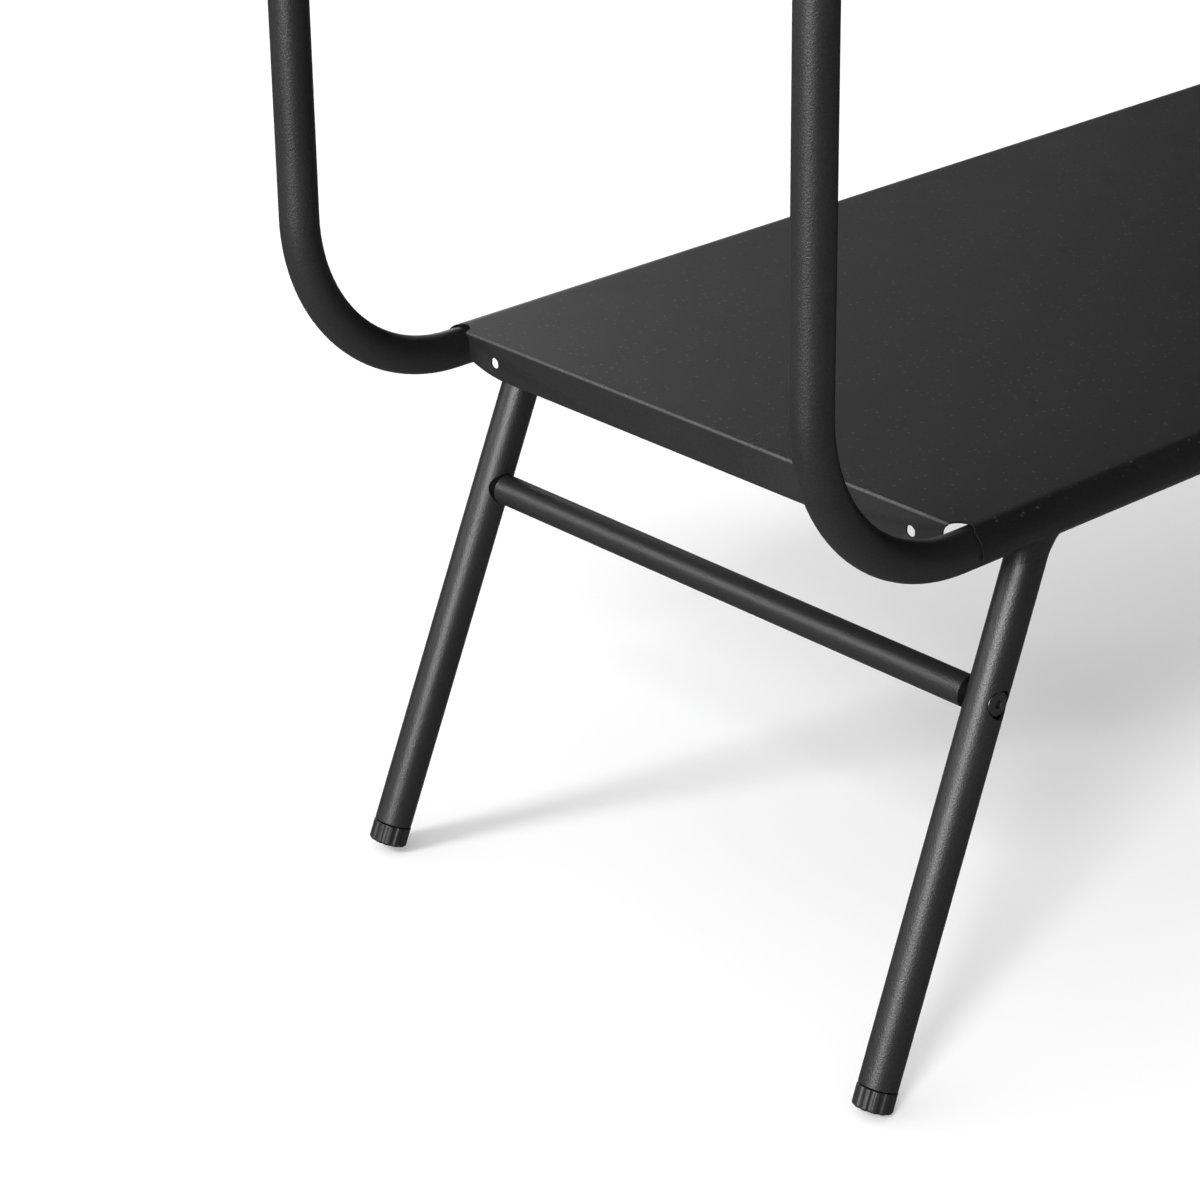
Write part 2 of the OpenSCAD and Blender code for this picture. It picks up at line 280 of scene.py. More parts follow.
def tilted_place(tree, links):
    """Object coordinates, tilted so that no flat face lies along a texture's own grid"""
    place = tree.new("ShaderNodeTexCoord")
    tilt = tree.new("ShaderNodeMapping")
    tilt.inputs["Rotation"].default_value = (0.5, 0.3, 0.7)
    links.new(place.outputs["Object"], tilt.inputs["Vector"])
    return tilt.outputs["Vector"]


def noise(tree, links, place, scale, detail=2.0, roughness=0.5):
    node = tree.new("ShaderNodeTexNoise")
    node.inputs["Scale"].default_value = scale
    node.inputs["Detail"].default_value = detail
    node.inputs["Roughness"].default_value = roughness
    links.new(place, node.inputs["Vector"])
    return node.outputs["Fac"]


def sparse_dots(tree, links, place, scale, share, radius):
    """Small round dots in a share of the cells, 1 inside a dot and 0 outside"""
    node = tree.new("ShaderNodeTexVoronoi")
    node.inputs["Scale"].default_value = scale
    links.new(place, node.inputs["Vector"])
    chance = tree.new("ShaderNodeSeparateColor")
    links.new(node.outputs["Color"], chance.inputs["Color"])
    kept = remap(tree, links, chance.outputs["Red"], 1 - share, 1 - share * 0.6, 0.0, 1.0)
    near = remap(tree, links, node.outputs["Distance"], radius * 0.6, radius, 1.0, 0.0)
    return combine(tree, links, "MULTIPLY", kept, near)


def remap(tree, links, value, low, high, to_low, to_high):
    node = tree.new("ShaderNodeMapRange")
    node.inputs["From Min"].default_value = low
    node.inputs["From Max"].default_value = high
    node.inputs["To Min"].default_value = to_low
    node.inputs["To Max"].default_value = to_high
    links.new(value, node.inputs["Value"])
    return node.outputs["Result"]


def combine(tree, links, how, a, b):
    node = tree.new("ShaderNodeMath")
    node.operation = how
    for socket, value in zip(node.inputs, (a, b)):
        if isinstance(value, float):
            socket.default_value = value
        else:
            links.new(value, socket)
    return node.outputs["Value"]


def bump(tree, links, height, depth, strength=1.0):
    node = tree.new("ShaderNodeBump")
    node.inputs["Strength"].default_value = strength
    node.inputs["Distance"].default_value = depth
    links.new(height, node.inputs["Height"])
    return node.outputs["Normal"]


def grey(tree, links, value):
    node = tree.new("ShaderNodeCombineColor")
    for channel in ("Red", "Green", "Blue"):
        links.new(value, node.inputs[channel])
    return node.outputs["Color"]


def facing_up(tree, links, value):
    """Keeps a value on faces that look up, where dust settles and shoes scuff"""
    shape = tree.new("ShaderNodeNewGeometry")
    split = tree.new("ShaderNodeSeparateXYZ")
    links.new(shape.outputs["Normal"], split.inputs["Vector"])
    up = remap(tree, links, split.outputs["Z"], 0.6, 0.95, 0.0, 1.0)
    return combine(tree, links, "MULTIPLY", value, up)


PALE_FOLD_FROM = 0.2 * MM  # past the start of the fold, where the pale band (painted highlight and worn coat) begins and where it is full
PALE_FOLD_FULL = 0.8 * MM
PALE_FOLD_DROP = (1.7 * MM, 0.8 * MM)  # below the sheet's top, where the pale band ends and where it is full


def paint_fold_highlight_and_wear(tree, links, grain, amount):
    """Painted highlight along the two folds at the ends of the shelf: a paler band that also stands for
    a thinner, worn coat
    """
    place = tree.new("ShaderNodeTexCoord")
    split = tree.new("ShaderNodeSeparateXYZ")
    links.new(place.outputs["Object"], split.inputs["Vector"])
    across = combine(tree, links, "ABSOLUTE", split.outputs["X"], 0.0)
    start = SHELF_HALF - FOLD_R
    out = remap(tree, links, across, start + PALE_FOLD_FROM, start + PALE_FOLD_FULL, 0.0, 1.0)
    ends, full = (SHELF_TOP - drop for drop in PALE_FOLD_DROP)
    high = remap(tree, links, split.outputs["Z"], ends, full, 0.0, 1.0)
    patchy = remap(tree, links, grain, 0.3, 0.7, amount * 0.6, amount * 1.3)
    line = combine(tree, links, "MULTIPLY", out, high)
    return combine(tree, links, "MULTIPLY", line, patchy)


def powder_coat(name, base, specks, grain_depth, rough, fold_highlight_and_wear=0.0):
    """Fine-textured black powder coat: grain, faint clouds and sparse pale specks"""
    material, tree, links, shader = new_material(name)
    place = tilted_place(tree, links)
    clouds = noise(tree, links, place, scale=9.0, detail=3.0)
    grain = noise(tree, links, place, scale=780.0, roughness=0.6)
    fine = noise(tree, links, place, scale=2400.0, detail=1.0)
    dust = sparse_dots(tree, links, place, scale=210.0, share=0.6, radius=0.22)
    tone = remap(tree, links, clouds, 0.3, 0.7, base * 0.88, base * 1.14)
    dots = combine(tree, links, "MULTIPLY", facing_up(tree, links, dust), specks)
    mottle = remap(tree, links, grain, 0.3, 0.7, 0.8, 1.2)
    tone = combine(tree, links, "MULTIPLY", tone, mottle)
    tone = combine(tree, links, "ADD", tone, dots)
    # pale band along the shelf's folds: a painted highlight that also stands for a thinner, worn coat
    if fold_highlight_and_wear:
        tone = combine(tree, links, "ADD", tone, paint_fold_highlight_and_wear(tree, links, grain, fold_highlight_and_wear))
    links.new(grey(tree, links, tone), shader.inputs["Base Color"])
    dull = remap(tree, links, clouds, 0.3, 0.7, rough - 0.03, rough + 0.04)
    rub = remap(tree, links, fine, 0.3, 0.7, -0.03, 0.03)
    links.new(combine(tree, links, "ADD", dull, rub), shader.inputs["Roughness"])
    height = combine(tree, links, "ADD", grain, combine(tree, links, "MULTIPLY", fine, 0.4))
    links.new(bump(tree, links, height, grain_depth), shader.inputs["Normal"])
    shader.inputs["Specular IOR Level"].default_value = 0.4
    return material


def moulded_plastic(name, base, rough, grain_depth, gloss):
    """Black moulded plastic with a fine spark-eroded grain and faint flow marks"""
    material, tree, links, shader = new_material(name)
    place = tilted_place(tree, links)
    flow = noise(tree, links, place, scale=70.0, detail=3.0)
    grain = noise(tree, links, place, scale=1100.0)
    tone = remap(tree, links, flow, 0.3, 0.7, base * 0.8, base * 1.25)
    links.new(grey(tree, links, tone), shader.inputs["Base Color"])
    dull = remap(tree, links, grain, 0.3, 0.7, rough - 0.05, rough + 0.06)
    links.new(dull, shader.inputs["Roughness"])
    links.new(bump(tree, links, grain, grain_depth), shader.inputs["Normal"])
    shader.inputs["Specular IOR Level"].default_value = gloss
    return material


def plated_steel(name, base, rough, metallic):
    """Plated steel fastener: faint turning marks and patchy polish"""
    material, tree, links, shader = new_material(name)
    place = tilted_place(tree, links)
    patches = noise(tree, links, place, scale=320.0, detail=3.0)
    marks = noise(tree, links, place, scale=3200.0)
    tone = remap(tree, links, patches, 0.3, 0.7, base * 0.8, base * 1.2)
    links.new(grey(tree, links, tone), shader.inputs["Base Color"])
    dull = remap(tree, links, patches, 0.3, 0.7, rough - 0.06, rough + 0.08)
    links.new(dull, shader.inputs["Roughness"])
    links.new(bump(tree, links, marks, 0.008 * MM), shader.inputs["Normal"])
    shader.inputs["Metallic"].default_value = metallic
    return material


frame_coat = powder_coat("frame_coat", base=0.016, specks=0.01, grain_depth=0.2 * MM, rough=0.4)
# the shelf's coat gets a pale band along its folds: a painted highlight that also stands for worn coat
shelf_coat = powder_coat(
    "shelf_coat", base=0.0155, specks=0.055, grain_depth=0.1 * MM, rough=0.48, fold_highlight_and_wear=0.09
)
foot_plastic = moulded_plastic(
    "foot_plastic", base=0.015, rough=0.42, grain_depth=0.06 * MM, gloss=0.4
)
saddle_plastic = moulded_plastic(
    "saddle_plastic", base=0.003, rough=0.6, grain_depth=0.02 * MM, gloss=0.03
)
black_bolt = plated_steel("black_bolt", base=0.02, rough=0.34, metallic=0.0)
zinc_steel = plated_steel("zinc_steel", base=0.55, rough=0.32, metallic=1.0)

# ---- mesh building ----


class Shell:
    """Vertices and faces that are built ring by ring"""

    def __init__(self):
        self.points = []
        self.faces = []

    def ring(self, points):
        first = len(self.points)
        self.points.extend(points)
        return list(range(first, len(self.points)))

    def band(self, a, b):
        count = len(a)
        for i in range(count):
            j = (i + 1) % count
            self.faces.append((a[i], a[j], b[j], b[i]))

    def bands(self, rings):
        for a, b in zip(rings, rings[1:]):
            self.band(a, b)

    def cap(self, ring):
        self.faces.append(tuple(ring))


def weigh_normals(obj):
    """Lets the large faces set the shading beside small rounded edges"""
    weigh = obj.modifiers.new("weigh", "WEIGHTED_NORMAL")
    weigh.mode = "FACE_AREA"
    weigh.keep_sharp = True
    depsgraph = bpy.context.evaluated_depsgraph_get()
    mesh = bpy.data.meshes.new_from_object(obj.evaluated_get(depsgraph))
    obj.modifiers.clear()
    old = obj.data
    obj.data = mesh
    bpy.data.meshes.remove(old)


pieces = {}


def make_piece(name, shell, material, slot, body, *replaced, sharp=32):
    """Makes a visible piece of a shell, riding a body in place of the CAD nodes it replaces"""
    mesh = bpy.data.meshes.new(name + "_mesh")
    mesh.from_pydata([tuple(p) for p in shell.points], [], shell.faces)
    work = bmesh.new()
    work.from_mesh(mesh)
    bmesh.ops.recalc_face_normals(work, faces=work.faces)
    work.to_mesh(mesh)
    work.free()
    mesh.materials.append(material)
    for face in mesh.polygons:
        face.use_smooth = True
    mesh.set_sharp_from_angle(angle=math.radians(sharp))
    obj = bpy.data.objects.new(name, mesh)
    bpy.context.scene.collection.objects.link(obj)
    weigh_normals(obj)
    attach(obj, body)
    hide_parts(*replaced)
    pieces[name] = obj
    return obj


def square_to(direction, axis):
    """The direction's part across an axis, one unit long"""
    return (direction - axis * direction.dot(axis)).normalized()


def crossings(start, along, point, axis, radius):
    """Distances from start along a line to a cylinder's near and far sides, or None"""
    w = start - point
    w = w - axis * w.dot(axis)
    d = along - axis * along.dot(axis)
    a = d.dot(d)
    b = w.dot(d)
    c = w.dot(w) - radius * radius
    root = b * b - a * c
    if root < 0:
        return None
    return (-b - math.sqrt(root)) / a, (-b + math.sqrt(root)) / a


# ---- tubes ----

STEP = 2 * math.pi / ROUND
ANGLES = [STEP * j for j in range(ROUND)]
GUARD = 1.2 * MM
HOLE_SPAN = 12.5 * MM
HOLE_ROWS = 20
HOLE_TURN = 11


def straight_axis(start, along, side):
    """Axis from start: at(s) gives its centre, direction and the two directions across it"""
    n = square_to(side, along)
    b = along.cross(n)

    def at(s):
        return start + along * s, along, n, b

    return at


def hoop_axis(face, rail_z, up):
    """Half a hoop, from its left end at the split, along the rail, to its right end"""
    upright = abs(SPLIT_Z - rail_z) - BEND_R
    arc = BEND_R * math.pi / 2
    total = 2 * (upright + arc + UPRIGHT_X - BEND_R)
    out = Y * face

    def at(s):
        mirrored = s > total / 2
        d = total - s if mirrored else s
        if d < upright:
            n = -X
            t = Z * -up
            c = Vector((-UPRIGHT_X, 0, SPLIT_Z - up * d))
        elif d < upright + arc:
            turn = (d - upright) / BEND_R
            n = Vector((-math.cos(turn), 0, -up * math.sin(turn)))
            t = Vector((math.sin(turn), 0, -up * math.cos(turn)))
            c = Vector((BEND_R - UPRIGHT_X, 0, rail_z + up * BEND_R)) + n * BEND_R
        else:
            n = Z * -up
            t = X.copy()
            c = Vector((BEND_R - UPRIGHT_X + d - upright - arc, 0, rail_z))
        if mirrored:
            c.x = -c.x
            n = Vector((-n.x, 0, n.z))
            t = Vector((t.x, 0, -t.z))
        return c + out * RAIL_Y, t, n, out

    return at, upright, arc, total


def around(axis, s, angle, r):
    """Point at a radius and an angle round an axis, at a distance along it"""
    c, t, n, b = axis(s)
    return c + n * (r * math.cos(angle)) + b * (r * math.sin(angle))


def tube_end(shell, axis, s_end, inward, radius, grow, cope):
    """Rings out to a tube's end: a rounded lip on a square cut, or a coped end"""
    rings = []
    if cope is None:
        for s in (4 * GUARD, GUARD):
            rings.append(shell.ring([around(axis, s_end + inward * s, a, radius) for a in ANGLES]))
        for k in range(4):
            turn = math.radians(30 * k)
            s = s_end + inward * LIP * (1 - math.sin(turn))
            r = radius + grow * LIP * (1 - math.cos(turn))
            rings.append(shell.ring([around(axis, s, a, r) for a in ANGLES]))
        return rings
    ends = [cope(a, radius) for a in ANGLES]
    for k in range(1, 7):
        spots = [s_end + (e - s_end) * k / 6 for e in ends]
        rings.append(shell.ring([around(axis, s, a, radius) for s, a in zip(spots, ANGLES)]))
    return rings


def with_hole(stations, s0):
    """Stations along a tube, with the even rows that a hole at s0 needs"""
    kept = [s for s in stations if abs(s - s0) > HOLE_SPAN + MM]
    rows = [s0 + HOLE_SPAN * (2 * k / HOLE_ROWS - 1) for k in range(HOLE_ROWS + 1)]
    return sorted(kept + rows)


def plan_hole(stations, s0, angle):
    """First row, last row and first column of the patch that a hole takes"""
    gaps = [abs(s - (s0 - HOLE_SPAN)) for s in stations]
    row = gaps.index(min(gaps))
    return row, row + HOLE_ROWS, round(angle / STEP) - HOLE_TURN


def tube(shell, axis, first, stations, last, r, holes=(), copes=(None, None)):
    """Hollow tube between first and last. holes: (station, angle, radius)"""
    plans = [plan_hole(stations, hole[0], hole[1]) for hole in holes]
    skins = []
    for radius, grow in ((r, -1), (r - WALL, 1)):
        head = tube_end(shell, axis, first, 1, radius, grow, copes[0])
        tail = tube_end(shell, axis, last, -1, radius, grow, copes[1])
        grid = [shell.ring([around(axis, s, a, radius) for a in ANGLES]) for s in stations]
        for i, (low, high) in enumerate(zip(grid, grid[1:])):
            for j in range(ROUND):
                if any(a <= i < b and (j - c) % ROUND < 2 * HOLE_TURN for a, b, c in plans):
                    continue
                k = (j + 1) % ROUND
                shell.faces.append((low[j], low[k], high[k], high[j]))
        shell.bands(head[::-1] + [grid[0]])
        shell.bands([grid[-1]] + tail)
        skins.append((head[-1], grid, tail[-1]))
    shell.band(skins[0][0], skins[1][0])
    shell.band(skins[0][2], skins[1][2])
    for plan, hole in zip(plans, holes):
        pierce(shell, axis, r, hole, plan, skins, stations)


def pierce(shell, axis, r, hole, plan, skins, stations):
    """A round hole with a rounded edge, from the outer skin through to the bore"""
    s0, angle, hole_r = hole
    i0, i1, j0 = plan
    j1 = j0 + 2 * HOLE_TURN
    edge = [(i0, j) for j in range(j0, j1)] + [(i, j1) for i in range(i0, i1)]
    edge += [(i1, j) for j in range(j1, j0, -1)] + [(i, j0) for i in range(i1, i0, -1)]
    spots = [(j * STEP - angle, stations[i] - s0) for i, j in edge]
    turns = [math.atan2(ds, r * math.sin(da)) for da, ds in spots]
    c, t, n, b = axis(s0)
    out = n * math.cos(angle) + b * math.sin(angle)
    side = b * math.cos(angle) - n * math.sin(angle)

    def rim(rho, radius, drop):
        points = []
        for turn in turns:
            across = rho * math.cos(turn)
            rise = math.sqrt(radius * radius - across * across) - drop
            points.append(c + side * across + t * (rho * math.sin(turn)) + out * rise)
        return shell.ring(points)

    def spread(grid, radius, rho):
        rings = [[grid[i][j % ROUND] for i, j in edge]]
        for part in (0.25, 0.5, 0.75):
            points = []
            for (da, ds), turn in zip(spots, turns):
                a = da + (math.asin(rho * math.cos(turn) / radius) - da) * part
                s = ds + (rho * math.sin(turn) - ds) * part
                points.append(around(axis, s0 + s, angle + a, radius))
            rings.append(shell.ring(points))
        return rings

    rings = spread(skins[0][1], r, hole_r + HOLE_EDGE)
    for k in range(4):
        turn = math.radians(30 * k)
        rho = hole_r + HOLE_EDGE * (1 - math.sin(turn))
        rings.append(rim(rho, r, HOLE_EDGE * (1 - math.cos(turn))))
    rings.append(rim(hole_r, r - WALL, 0))
    shell.bands(rings + spread(skins[1][1], r - WALL, hole_r)[::-1])


def spaced(a, b, count):
    return [a + (b - a) * k / count for k in range(count + 1)]


# ---- hoops, legs and bars ----


def make_hoop(name, face, rail_z, up, hole_xs):
    """Half a hoop of bent tube, with a hole for a bolt's head at each of hole_xs"""
    axis, upright, arc, total = hoop_axis(face, rail_z, up)
    run_start = upright + arc
    stations = spaced(6 * MM, upright, 8) + spaced(upright, run_start, 30)[1:]
    stations += spaced(run_start, total - run_start, 14)[1:]
    stations += spaced(total - run_start, total - upright, 30)[1:]
    stations += spaced(total - upright, total - 6 * MM, 8)[1:]
    holes = [(total / 2 + x, math.pi / 2, HEAD_HOLE_R) for x in hole_xs]
    for hole in holes:
        stations = with_hole(stations, hole[0])
    shell = Shell()
    tube(shell, axis, 0, stations, total, TUBE_R, holes)
    make_piece(name + "_tube", shell, frame_coat, "frame_coat", "frame", name)


def leg_line(corner):
    """Top of the leg's axis, the direction up along it and its length down to the floor's foot"""
    joint = joints[corner + "_foot_turn"]
    up = -Vector(joint["axis"]).normalized()
    middle = Vector(joint["pos_m"])
    reach = (RAIL_Z - middle.z) / up.z
    return middle + up * reach, up, reach + FOOT_H / 2


def leg_parts(corner):
    """The leg's axis, its lower end, the direction up it and the cope round the rail"""
    face = CORNERS[corner][1]
    top, up, length = leg_line(corner)
    start = top - up * (length - FOOT_H - FOOT_GAP)
    axis = straight_axis(start, up, Y * face)
    rail = Vector((0, face * RAIL_Y, RAIL_Z))

    def cope(angle, radius):
        spot = around(axis, 0, angle, radius)
        lip = (RAIL_Z - COPE_DROP - spot.z) / up.z
        found = crossings(spot, up, rail, X, TUBE_R)
        return min(found[0], lip) if found else lip

    return axis, start, up, cope


def make_leg(corner):
    axis, start, up, cope = leg_parts(corner)
    top = (RAIL_Z - 22 * MM - start.z) / up.z
    s0 = (LEG_BAR_Z - start.z) / up.z
    stations = with_hole(spaced(6 * MM, top, 12), s0)
    shell = Shell()
    hole = (s0, 0, HEAD_HOLE_R)
    tube(shell, axis, 0, stations, top, TUBE_R, [hole], (None, cope))
    make_piece(corner + "_leg_tube", shell, frame_coat, "frame_coat", "frame", corner + "_leg")


def weld(shell, axis, radius, cope, inward, length, width):
    """A smooth coated weld bead round a coped end, with faint ripples"""
    count = 168
    ripples = round(2 * math.pi * radius / (2.9 * MM))
    rings = []
    for k in range(10):
        ring = []
        for j in range(count):
            a = 2 * math.pi * j / count
            s_seam = cope(a, radius)
            low = around(axis, s_seam + inward * length, a, radius)
            seam = around(axis, s_seam, a, radius)
            high = around(axis, cope(a, radius + width), a, radius + width)
            if k == 9:
                ring.append(seam)
                continue
            f = k / 8
            point = low * (1 - f) ** 2 + seam * (2 * f * (1 - f)) + high * f * f
            out = (around(axis, s_seam, a, 2 * radius) - seam).normalized()
            swell = 0.22 * width * math.sin(math.pi * f)
            wave = 0.05 * MM * math.sin(ripples * a) * math.sin(math.pi * f)
            ring.append(point + out * (swell + wave))
        rings.append(shell.ring(ring))
    shell.bands(rings + [rings[0]])


def make_leg_weld(corner):
    axis, start, up, cope = leg_parts(corner)
    shell = Shell()
    weld(shell, axis, TUBE_R, cope, -1, 11 * MM, 3.2 * MM)
    name = corner + "_weld_bead"
    make_piece(name, shell, frame_coat, "frame_coat", "frame", corner + "_leg_weld", sharp=60)


def make_crossbar(name, x, z, end):
    axis = straight_axis(Vector((x, -end, z)), Y, Z)
    shell = Shell()
    tube(shell, axis, 0, spaced(6 * MM, 2 * end - 6 * MM, 8), 2 * end, BAR_R)
    make_piece(name + "_tube", shell, frame_coat, "frame_coat", "frame", name)


def rail_cope(side, length):
    """Where the hanging rail meets the top crossbar on one side"""

    def cope(angle, radius):
        high = radius * math.cos(angle)
        gap = math.sqrt(max(BAR_R * BAR_R - high * high, 0))
        return gap if side < 0 else length - gap

    return cope


def make_hanging_rail():
    length = 2 * TOP_BAR_X
    axis = straight_axis(Vector((-TOP_BAR_X, 0, TOP_Z)), X, Z)
    copes = (rail_cope(-1, length), rail_cope(1, length))
    shell = Shell()
    tube(shell, axis, 20 * MM, spaced(22 * MM, length - 22 * MM, 12), length - 20 * MM, BAR_R, (), copes)
    make_piece("hanging_rail_tube", shell, frame_coat, "frame_coat", "frame", "hanging_rail")
    for side, name, cope in ((-1, "left_rail_weld", copes[0]), (1, "right_rail_weld", copes[1])):
        shell = Shell()
        weld(shell, axis, BAR_R, cope, -side, 5 * MM, 1.4 * MM)
        make_piece(name + "_bead", shell, frame_coat, "frame_coat", "frame", name, sharp=60)


# ---- bolted joints ----


def joint_centres():
    """Each bolted joint: its centre, its face, and a point, direction and radius of its post"""
    found = []
    for corner, (side, face) in CORNERS.items():
        top, up, length = leg_line(corner)
        y = face * (LEG_BAR_END + TUBE_R + SADDLE_T)
        found.append((Vector((side * LEG_BAR_X, y, LEG_BAR_Z)), face, top, up))
        y = face * (TOP_BAR_END + TUBE_R + SADDLE_T)
        found.append((Vector((side * TOP_BAR_X, y, TOP_Z)), face, Vector((0, y, TOP_Z)), X))
    return found


def make_saddles():
    """Plastic washers that fill the space between a post's round side and a bar's flat end"""
    shell = Shell()
    edge = 0.3 * MM
    for centre, face, point, along in joint_centres():
        inward = Y * -face
        back = TUBE_R + SADDLE_T
        radii = (BOLT_R + 0.3 * MM, 6 * MM, 8.5 * MM, BAR_R - edge)
        rings = []
        for r in radii:
            ring = []
            for a in ANGLES:
                spot = centre + X * (r * math.cos(a)) + Z * (r * math.sin(a))
                ring.append(spot + inward * crossings(spot, inward, point, along, TUBE_R)[1])
            rings.append(shell.ring(ring))
        ring = []
        for a in ANGLES:
            spot = centre + X * (BAR_R * math.cos(a)) + Z * (BAR_R * math.sin(a))
            far = crossings(spot, inward, point, along, TUBE_R)[1]
            ring.append(spot + inward * min(far + edge, back))
        rings.append(shell.ring(ring))
        for r in (BAR_R, radii[0]):
            spots = [X * (r * math.cos(a)) + Z * (r * math.sin(a)) for a in ANGLES]
            rings.append(shell.ring([centre + inward * back + s for s in spots]))
        shell.bands(rings + [rings[0]])
    name = "crossbar_saddle_washers"
    make_piece(name, shell, saddle_plastic, "saddle_plastic", "frame", "crossbar_saddles")


def hexagon(r, angle):
    """Radius of a hexagon with corners at radius r"""
    return r * math.cos(math.pi / 6) / math.cos(angle % (math.pi / 3) - math.pi / 6)


def turned(shell, centre, out, steps, count=72):
    """A closed turned solid. steps: (distance out from the centre, radius, shape or None)"""
    u = square_to(X if abs(out.x) < 0.9 else Z, out)
    v = out.cross(u)
    rings = []
    for depth, r, shape in steps:
        ring = []
        for k in range(count):
            a = 2 * math.pi * k / count
            reach = shape(r, a) if shape else r
            ring.append(centre + out * depth + u * (reach * math.cos(a)) + v * (reach * math.sin(a)))
        rings.append(shell.ring(ring))
    shell.bands(rings)
    shell.cap(rings[0])
    shell.cap(rings[-1])


def make_bolts():
    """Connector bolts: a shank into the crossbar, and a flat head with a rounded rim"""
    tip = -(TUBE_R + SADDLE_T + INSERT_L - 2 * MM)
    seat = HEAD_FACE - HEAD_H
    steps = [
        (tip, BOLT_R - 0.7 * MM, None),
        (tip + 0.7 * MM, BOLT_R, None),
        (seat, BOLT_R, None),
        (seat, HEAD_R - 0.2 * MM, None),
        (seat + 0.2 * MM, HEAD_R, None),
    ]
    for k in range(7):
        a = math.radians(15 * k)
        depth = HEAD_EDGE * (1 - math.sin(a))
        steps.append((HEAD_FACE - depth, HEAD_R - HEAD_EDGE * (1 - math.cos(a)), None))
    steps += [
        (HEAD_FACE, HEAD_R - HEAD_EDGE - 0.3 * MM, None),
        (HEAD_FACE, SOCKET_R + 0.5 * MM, None),
        (HEAD_FACE - 0.05 * MM, SOCKET_R + 0.12 * MM, hexagon),
        (HEAD_FACE - 0.2 * MM, SOCKET_R, hexagon),
        (HEAD_FACE - SOCKET_DEPTH, SOCKET_R, hexagon),
        (HEAD_FACE - SOCKET_DEPTH - 0.15 * MM, 1.2 * MM, None),
    ]
    shell = Shell()
    for centre, face, point, along in joint_centres():
        turned(shell, centre, Y * face, steps)
    make_piece("connector_bolt_set", shell, black_bolt, "black_bolt", "frame", "connector_bolts")


def make_spigot_screws():
    """Small button-head screws, on the inner sides of the uprights"""
    steps = [
        (-5.5 * MM, 2.0 * MM, None),
        (-5.0 * MM, 2.5 * MM, None),
        (0.05 * MM, 2.5 * MM, None),
        (0.05 * MM, 4.55 * MM, None),
        (0.2 * MM, 4.75 * MM, None),
        (0.7 * MM, 4.75 * MM, None),
        (1.1 * MM, 4.6 * MM, None),
        (1.6 * MM, 4.25 * MM, None),
        (2.1 * MM, 3.7 * MM, None),
        (2.45 * MM, 3.1 * MM, None),
        (2.6 * MM, 2.5 * MM, None),
        (2.6 * MM, 2.1 * MM, None),
        (2.5 * MM, 1.8 * MM, hexagon),
        (1.0 * MM, 1.75 * MM, hexagon),
        (0.9 * MM, 0.7 * MM, None),
    ]
    shell = Shell()
    for side, face in CORNERS.values():
        for z in (-SCREW_OFFSET, SCREW_OFFSET):
            centre = Vector((side * UPRIGHT_X, face * (RAIL_Y - TUBE_R), SPLIT_Z + z))
            turned(shell, centre, Y * -face, steps)
    make_piece("spigot_screw_set", shell, black_bolt, "black_bolt", "frame", "spigot_screws")


# ---- feet ----


def fluted(r, angle):
    """Radius of the foot's ribbed rim, less the same inset all round"""
    c = FOOT_R + FLUTE_R - FLUTE_DEPTH
    turn = 2 * math.pi / RIBS
    d = (angle / turn + 0.5) % 1 * turn - turn / 2
    inside = FLUTE_R ** 2 - (c * math.sin(d)) ** 2
    rim = FOOT_R
    if inside > 0:
        soft = 0.3 * MM
        groove = c * math.cos(d) - math.sqrt(inside)
        h = max(soft - abs(FOOT_R - groove), 0) / soft
        rim = min(FOOT_R, groove) - h * h * soft / 4
    return rim - (FOOT_R - r)


def rounding(z, r, radius, first, last, count):
    """Steps round an edge: first and last are angles from the flat end, in degrees"""
    steps = []
    for k in range(count + 1):
        a = math.radians(first + (last - first) * k / count)
        steps.append((z - radius * math.cos(a), r - radius * (1 - math.sin(a)), fluted))
    return steps


def make_foot(corner):
    """Ribbed plastic levelling foot, hollow underneath"""
    top, up, length = leg_line(corner)
    bottom = top - up * length
    rim = 0.6 * MM
    steps = [
        (1.0 * MM, 2.0 * MM, None),
        (1.0 * MM, 7.4 * MM, None),
        (0.8 * MM, 8.0 * MM, None),
        (0.1 * MM, 8.5 * MM, None),
        (0.0, 8.9 * MM, None),
        (0.0, 10.6 * MM, None),
    ]
    steps += rounding(FOOT_ROUND, FOOT_R, FOOT_ROUND, 0, 90, 7)
    steps += rounding(FOOT_H - rim, FOOT_R, rim, 90, 180, 4)
    steps += [
        (FOOT_H, 10.5 * MM, None),
        (FOOT_H, 5.0 * MM, None),
        (FOOT_H, STEM_R + 0.4 * MM, None),
        (FOOT_H - 0.3 * MM, STEM_R + 0.05 * MM, None),
        (FOOT_H - STEM_IN_FOOT - 0.5 * MM, STEM_R + 0.05 * MM, None),
        (FOOT_H - STEM_IN_FOOT - 0.7 * MM, 1.0 * MM, None),
    ]
    shell = Shell()
    turned(shell, bottom, up, steps, 16 * RIBS)
    name = corner + "_foot"
    make_piece(name + "_ribbed", shell, foot_plastic, "foot_plastic", name, name, sharp=50)


